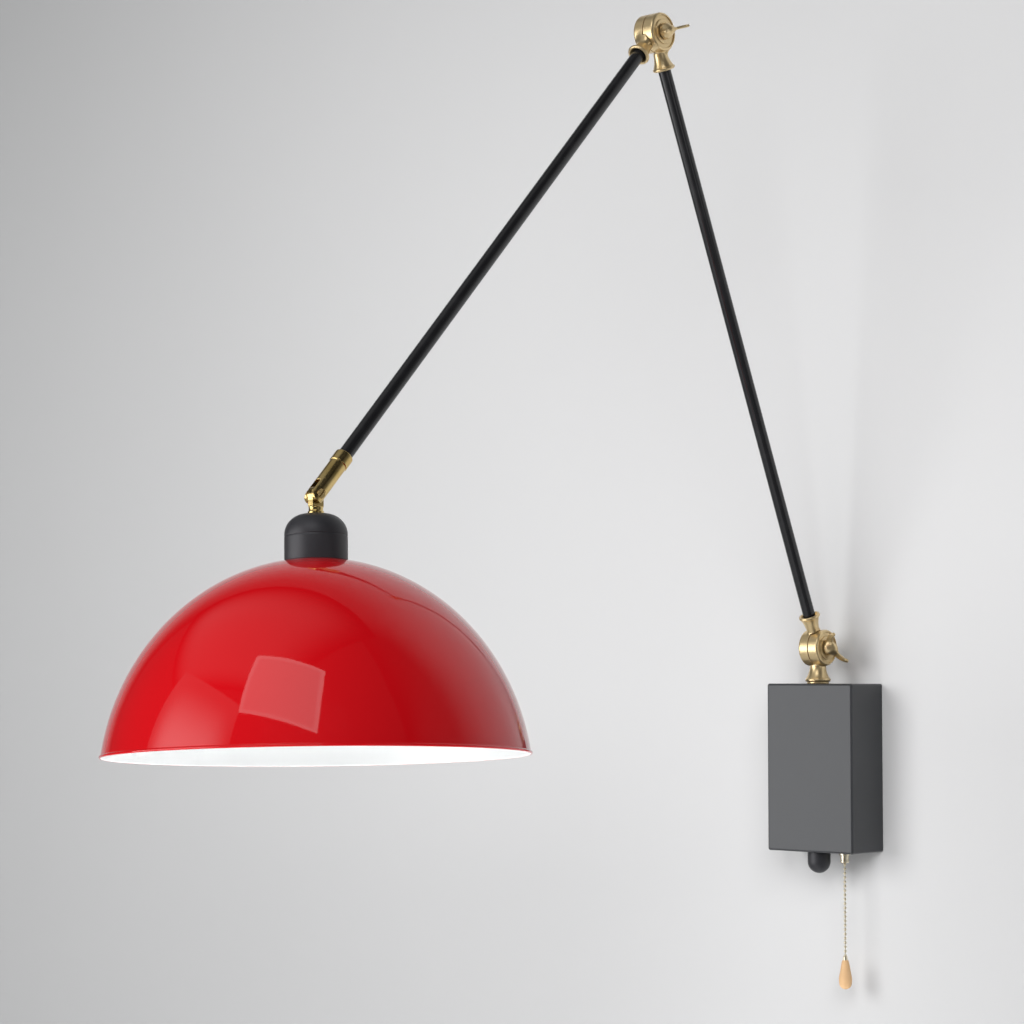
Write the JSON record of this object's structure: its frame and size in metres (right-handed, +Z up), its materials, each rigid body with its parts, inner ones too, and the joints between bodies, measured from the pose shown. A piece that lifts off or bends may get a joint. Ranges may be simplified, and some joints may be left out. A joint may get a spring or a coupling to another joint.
{
  "type": "swing arm wall lamp",
  "caption": "Swing arm wall lamp: wall box with pull switch, hinged tubular arms on wing screw friction knuckles, and a tilting spun dome shade.",
  "frame": {"origin": "on the wall, behind the middle of the wall box", "axes": "+X to the right seen from the room, +Y into the wall, +Z up"},
  "size_m": [0.2811, 0.7517, 0.7643],
  "materials": {
    "box_paint": "satin black powder coat",
    "plate_zinc": "bright zinc plate",
    "screw_zinc": "bright zinc plate",
    "nylon": "natural moulded",
    "grommet_rubber": "moulded",
    "terminal_plastic": "moulded",
    "contact_brass": "plain",
    "satin_brass": "satin turned and lacquered",
    "washer_fibre": "vulcanised fibre",
    "tube_black": "satin black enamel",
    "flex_pvc": "extruded",
    "wire_pvc": "extruded",
    "switch_moulding": "moulded",
    "chain_brass": "pale brass plate, polished",
    "honey_wood": "oiled and waxed",
    "cap_black": "satin black enamel",
    "holder_moulding": "compression moulded",
    "shell_nickel": "nickel plated",
    "shade_enamel": "gloss red enamel, white inside"
  },
  "bodies": {
    "wall_box": {"box_cover": "box_paint", "back_plate": "plate_zinc", "cover_screws": "screw_zinc", "cable_grommet": "grommet_rubber", "terminal_block": "terminal_plastic", "terminal_screws": "screw_zinc", "block_screws": "screw_zinc", "earth_screw": "contact_brass", "earth_tag": "contact_brass", "top_bush": "nylon", "bottom_bush": "nylon", "switch_body": "switch_moulding", "switch_lid": "switch_moulding", "switch_nut": "satin_brass", "switch_ferrule": "satin_brass", "switch_spring": "screw_zinc", "switch_wires": "wire_pvc"},
    "stem": {"stem_knuckle": "satin_brass", "swivel_rod": "plate_zinc", "swivel_washer": "satin_brass", "lock_nuts": "screw_zinc", "dome_cap": "cap_black", "lower_friction_washer": "washer_fibre", "stem_flex": "flex_pvc"},
    "lower_clamp": {"lower_wing_screw": "satin_brass"},
    "rear_arm": {"rear_arm_foot": "satin_brass", "rear_arm_tube": "tube_black", "rear_arm_head": "satin_brass", "rear_arm_nipples": "contact_brass", "rear_arm_flex": "flex_pvc", "upper_friction_washer": "washer_fibre"},
    "upper_clamp": {"upper_wing_screw": "satin_brass"},
    "front_arm": {"front_arm_head": "satin_brass", "front_arm_tube": "tube_black", "front_arm_nipples": "contact_brass", "front_arm_flex": "flex_pvc", "swivel_fork": "satin_brass", "swivel_screw": "satin_brass"},
    "shade_head": {"swivel_tongue": "satin_brass", "holder_cap": "cap_black", "lamp_holder": "holder_moulding", "holder_shell": "shell_nickel", "holder_contact": "contact_brass", "shade": "shade_enamel", "shade_ring": "holder_moulding"},
    "switch_pull": {"switch_slider": "contact_brass"},
    "chain_link": {"chain_top": "chain_brass"},
    "chain": {"bead_chain": "chain_brass", "chain_coupling": "chain_brass", "pendant": "honey_wood"}
  },
  "joints": [
    {"name": "base_swivel", "type": "hinge", "parent": "wall_box", "child": "stem", "pos_m": [0, -0.0305, 0], "axis": [0, 0, 1], "range_deg": [-90, 90]},
    {"name": "lower_elbow", "type": "hinge", "parent": "stem", "child": "rear_arm", "pos_m": [0, -0.0305, 0.0979], "axis": [1, 0, 0], "range_deg": [-24, 80]},
    {"name": "upper_elbow", "type": "hinge", "parent": "rear_arm", "child": "front_arm", "pos_m": [0, -0.24325, 0.57019], "axis": [1, 0, 0], "range_deg": [-112, 26]},
    {"name": "end_swivel", "type": "hinge", "parent": "front_arm", "child": "shade_head", "pos_m": [0, -0.60284, 0.19456], "axis": [0.9954, -0.0692, 0.0663], "range_deg": [-128, 46]},
    {"name": "lower_wing_turn", "type": "hinge", "parent": "rear_arm", "child": "lower_clamp", "pos_m": [0, -0.0305, 0.0979], "axis": [1, 0, 0], "range_deg": [0, 180]},
    {"name": "upper_wing_turn", "type": "hinge", "parent": "front_arm", "child": "upper_clamp", "pos_m": [0, -0.24325, 0.57019], "axis": [1, 0, 0], "range_deg": [0, 180]},
    {"name": "switch_travel", "type": "slide", "parent": "wall_box", "child": "switch_pull", "axis": [0, 0, -1], "range_m": [0, 0.005], "stiffness_N_per_m": 800, "springref_m": -0.003, "deforming": ["switch_spring"]},
    {"name": "chain_swing_out", "type": "hinge", "parent": "switch_pull", "child": "chain_link", "pos_m": [0.0193, -0.022, -0.0787], "axis": [1, 0, 0], "range_deg": [-45, 10]},
    {"name": "chain_swing_side", "type": "hinge", "parent": "chain_link", "child": "chain", "pos_m": [0.0193, -0.022, -0.0822], "axis": [0, 1, 0], "range_deg": [-45, 45]}
  ]
}
